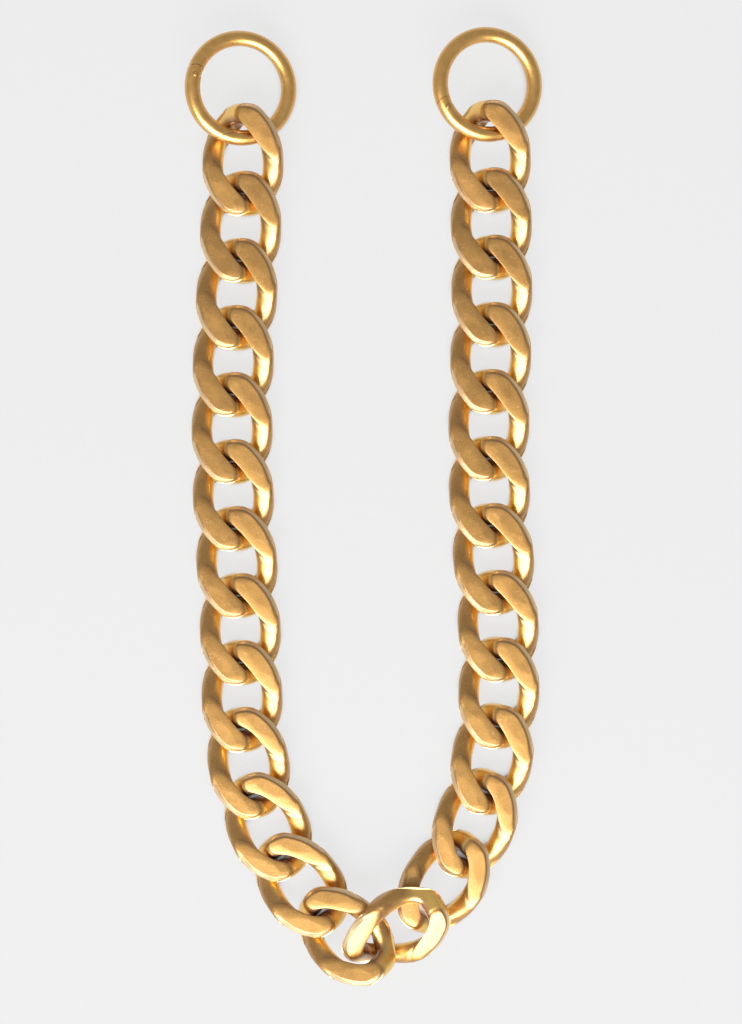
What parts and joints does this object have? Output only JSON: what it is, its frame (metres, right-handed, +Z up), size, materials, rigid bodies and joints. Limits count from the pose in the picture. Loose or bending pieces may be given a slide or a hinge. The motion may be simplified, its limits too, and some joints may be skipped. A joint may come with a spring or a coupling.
{
  "type": "chain necklace",
  "caption": "Chunky flat curb-link chain in satin gold with a spring-gate ring at each end, laid in a U; worn as a necklace or clipped on as a strap.",
  "frame": {"origin": "middle of the footprint of the laid-out chain, on the plane it lies on", "axes": "+X across the U from the left strand to the right one, +Y from the point of the U to the rings, +Z up from the table"},
  "size_m": [0.0872, 0.2336, 0.0129],
  "materials": {
    "link_gold": "satin gold plate over brass, finely grained flats with darker crevices",
    "ring_gold": "smooth satin gold plate over brass",
    "spring_steel": "bright drawn spring steel"
  },
  "bodies": {
    "link_01": {"link_01": "link_gold"},
    "link_02": {"link_02": "link_gold"},
    "link_03": {"link_03": "link_gold"},
    "link_04": {"link_04": "link_gold"},
    "link_05": {"link_05": "link_gold"},
    "link_06": {"link_06": "link_gold"},
    "link_07": {"link_07": "link_gold"},
    "link_08": {"link_08": "link_gold"},
    "link_09": {"link_09": "link_gold"},
    "link_10": {"link_10": "link_gold"},
    "link_11": {"link_11": "link_gold"},
    "link_12": {"link_12": "link_gold"},
    "link_13": {"link_13": "link_gold"},
    "link_14": {"link_14": "link_gold"},
    "link_15": {"link_15": "link_gold"},
    "link_16": {"link_16": "link_gold"},
    "link_17": {"link_17": "link_gold"},
    "link_18": {"link_18": "link_gold"},
    "link_19": {"link_19": "link_gold"},
    "link_20": {"link_20": "link_gold"},
    "link_21": {"link_21": "link_gold"},
    "link_22": {"link_22": "link_gold"},
    "link_23": {"link_23": "link_gold"},
    "link_24": {"link_24": "link_gold"},
    "link_25": {"link_25": "link_gold"},
    "link_26": {"link_26": "link_gold"},
    "left_ring": {"left_ring_frame": "ring_gold", "left_ring_pin": "ring_gold"},
    "left_gate": {"left_ring_gate": "ring_gold", "left_ring_plunger": "spring_steel", "left_ring_spring": "spring_steel"},
    "right_ring": {"right_ring_frame": "ring_gold", "right_ring_pin": "ring_gold"},
    "right_gate": {"right_ring_gate": "ring_gold", "right_ring_plunger": "spring_steel", "right_ring_spring": "spring_steel"}
  },
  "joints": [
    {"name": "lift_link_12", "type": "hinge", "parent": "link_13", "child": "link_12", "pos_m": [-0.01051, -0.0997, 0.00405], "axis": [0.7485, 0.6622, 0.0351], "range_deg": [-25, 11]},
    {"name": "sway_link_11", "type": "hinge", "parent": "link_12", "child": "link_11", "pos_m": [-0.02027, -0.08636, 0.00313], "axis": [0, 0, 1], "range_deg": [-3, 20]},
    {"name": "lift_link_10", "type": "hinge", "parent": "link_11", "child": "link_10", "pos_m": [-0.02696, -0.07133, 0.003], "axis": [0.9563, 0.2924, 0], "range_deg": [-21, 21]},
    {"name": "sway_link_09", "type": "hinge", "parent": "link_10", "child": "link_09", "pos_m": [-0.02982, -0.05513, 0.003], "axis": [0, 0, 1], "range_deg": [-10, 20]},
    {"name": "lift_link_08", "type": "hinge", "parent": "link_09", "child": "link_08", "pos_m": [-0.03011, -0.03869, 0.003], "axis": [0.9997, 0.0262, 0], "range_deg": [-23, 23]},
    {"name": "sway_link_07", "type": "hinge", "parent": "link_08", "child": "link_07", "pos_m": [-0.03068, -0.02225, 0.003], "axis": [0, 0, 1], "range_deg": [-17, 13]},
    {"name": "lift_link_06", "type": "hinge", "parent": "link_07", "child": "link_06", "pos_m": [-0.03183, -0.00584, 0.003], "axis": [0.9986, 0.0523, 0], "range_deg": [-23, 23]},
    {"name": "sway_link_05", "type": "hinge", "parent": "link_06", "child": "link_05", "pos_m": [-0.0324, 0.0106, 0.003], "axis": [0, 0, 1], "range_deg": [-13, 17]},
    {"name": "lift_link_04", "type": "hinge", "parent": "link_05", "child": "link_04", "pos_m": [-0.0324, 0.02705, 0.003], "axis": [0.9998, -0.0175, 0], "range_deg": [-23, 23]},
    {"name": "sway_link_03", "type": "hinge", "parent": "link_04", "child": "link_03", "pos_m": [-0.03183, 0.04349, 0.003], "axis": [0, 0, 1], "range_deg": [-13, 17]},
    {"name": "lift_link_02", "type": "hinge", "parent": "link_03", "child": "link_02", "pos_m": [-0.03068, 0.0599, 0.00312], "axis": [0.998, -0.061, 0.0131], "range_deg": [-19, 17]},
    {"name": "sway_link_01", "type": "hinge", "parent": "link_02", "child": "link_01", "pos_m": [-0.02978, 0.07635, 0.00324], "axis": [0, 0, 1], "range_deg": [-14, 9]},
    {"name": "sway_link_14", "type": "hinge", "parent": "link_13", "child": "link_14", "pos_m": [0.00084, -0.10918, 0.0068], "axis": [0, 0, 1], "range_deg": [-50, 6]},
    {"name": "lift_link_15", "type": "hinge", "parent": "link_14", "child": "link_15", "pos_m": [0.01469, -0.09958, 0.00577], "axis": [0.6706, -0.7056, -0.2289], "range_deg": [-16, 25]},
    {"name": "sway_link_16", "type": "hinge", "parent": "link_15", "child": "link_16", "pos_m": [0.02426, -0.08601, 0.00322], "axis": [0, 0, 1], "range_deg": [-20, 10]},
    {"name": "lift_link_17", "type": "hinge", "parent": "link_16", "child": "link_17", "pos_m": [0.02988, -0.07055, 0.003], "axis": [0.9659, -0.2588, 0], "range_deg": [-25, 14]},
    {"name": "sway_link_18", "type": "hinge", "parent": "link_17", "child": "link_18", "pos_m": [0.03274, -0.05435, 0.003], "axis": [0, 0, 1], "range_deg": [-20, 7]},
    {"name": "lift_link_19", "type": "hinge", "parent": "link_18", "child": "link_19", "pos_m": [0.03331, -0.03791, 0.003], "axis": [1, 0.0087, 0], "range_deg": [-21, 21]},
    {"name": "sway_link_20", "type": "hinge", "parent": "link_19", "child": "link_20", "pos_m": [0.03245, -0.02149, 0.003], "axis": [0, 0, 1], "range_deg": [-17, 12]},
    {"name": "lift_link_21", "type": "hinge", "parent": "link_20", "child": "link_21", "pos_m": [0.03102, -0.0051, 0.003], "axis": [0.9981, 0.061, 0], "range_deg": [-22, 11]},
    {"name": "sway_link_22", "type": "hinge", "parent": "link_21", "child": "link_22", "pos_m": [0.03045, 0.01134, 0.003], "axis": [0, 0, 1], "range_deg": [-12, 18]},
    {"name": "lift_link_23", "type": "hinge", "parent": "link_22", "child": "link_23", "pos_m": [0.03073, 0.02779, 0.003], "axis": [0.9997, -0.0262, 0], "range_deg": [-23, 23]},
    {"name": "sway_link_24", "type": "hinge", "parent": "link_23", "child": "link_24", "pos_m": [0.03131, 0.04423, 0.003], "axis": [0, 0, 1], "range_deg": [-17, 13]},
    {"name": "lift_link_25", "type": "hinge", "parent": "link_24", "child": "link_25", "pos_m": [0.03131, 0.06068, 0.00312], "axis": [0.9999, 0.0087, 0.0131], "range_deg": [-19, 14]},
    {"name": "sway_link_26", "type": "hinge", "parent": "link_25", "child": "link_26", "pos_m": [0.03106, 0.07714, 0.00324], "axis": [0, 0, 1], "range_deg": [-12, 12]},
    {"name": "swing_left_ring", "type": "hinge", "parent": "link_01", "child": "left_ring", "pos_m": [-0.03028, 0.09086, 0.00481], "axis": [0.9613, 0, -0.2756], "range_deg": [-45, 30]},
    {"name": "open_left_gate", "type": "hinge", "parent": "left_ring", "child": "left_gate", "pos_m": [-0.04148, 0.10468, 0.00852], "axis": [0.2755, -0.0349, 0.9607], "range_deg": [0, 5], "stiffness_Nm_per_rad": 0.012, "springref_deg": -20.05},
    {"name": "swing_right_ring", "type": "hinge", "parent": "link_26", "child": "right_ring", "pos_m": [0.03007, 0.09176, 0.00481], "axis": [-0.9613, 0, 0.2756], "range_deg": [-30, 45]},
    {"name": "open_right_gate", "type": "hinge", "parent": "right_ring", "child": "right_gate", "pos_m": [0.01995, 0.09699, 0.0079], "axis": [0.2755, -0.0349, 0.9607], "range_deg": [0, 5], "stiffness_Nm_per_rad": 0.012, "springref_deg": -20.05}
  ]
}
